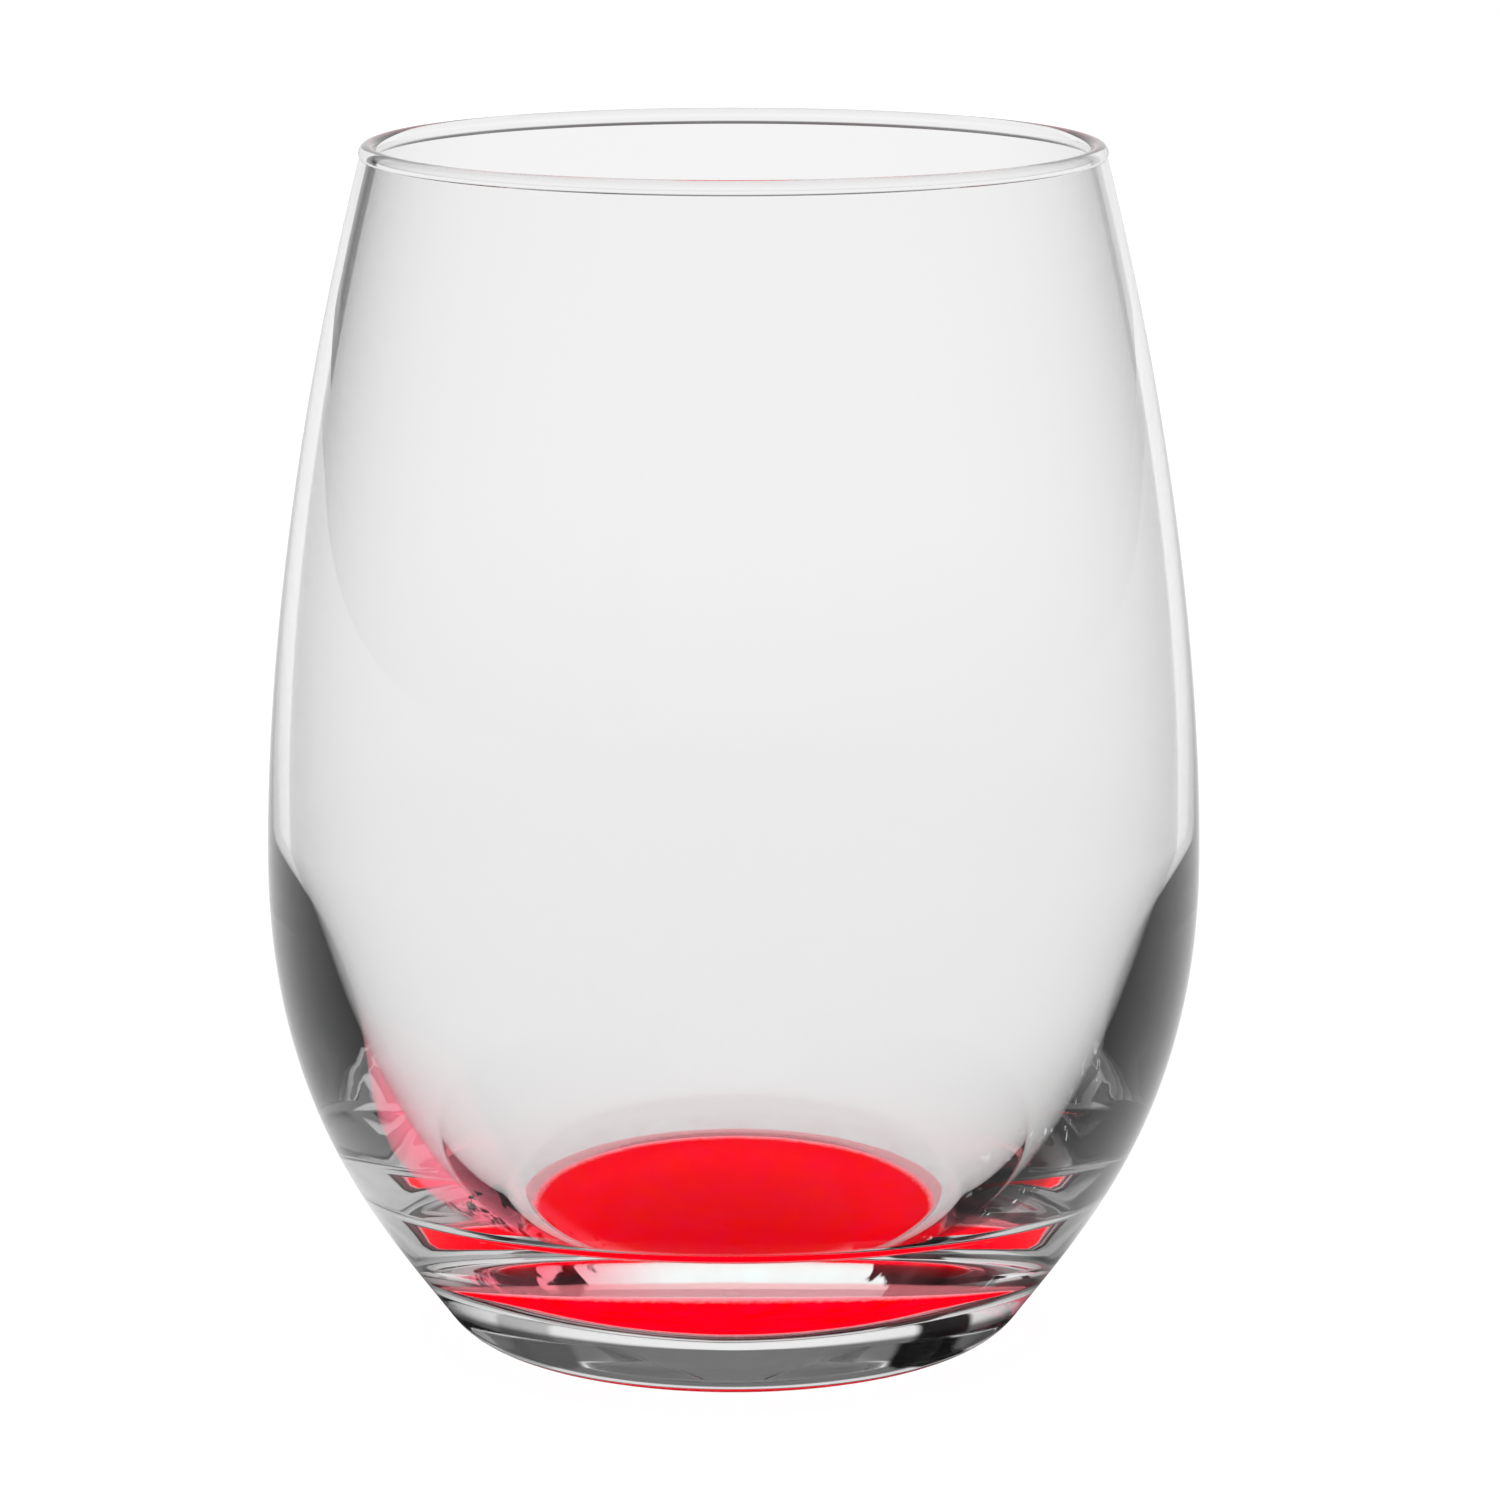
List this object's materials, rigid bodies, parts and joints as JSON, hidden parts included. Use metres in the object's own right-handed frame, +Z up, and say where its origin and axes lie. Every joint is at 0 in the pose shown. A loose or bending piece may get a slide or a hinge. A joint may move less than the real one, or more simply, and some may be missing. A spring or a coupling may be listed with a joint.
{
  "type": "stemless wine glass",
  "caption": "Clear stemless wine glass with an egg-shaped bowl, a fire-polished beaded rim, a thick heavy foot and a red colour coat in the punt of its foot.",
  "frame": {"origin": "middle of the standing ring, on the table that the glass stands on", "axes": "+Z up along the glass's axis of turning, towards the open rim; X and Y are alike"},
  "size_m": [0.0886, 0.0886, 0.114],
  "materials": {
    "clear_glass": "clear soda-lime glass, fire polished",
    "red_coat": "sprayed and baked red colour coat, glossy"
  },
  "bodies": {
    "root": {"glass_bowl": "clear_glass", "red_base_coat": "red_coat"}
  },
  "joints": []
}
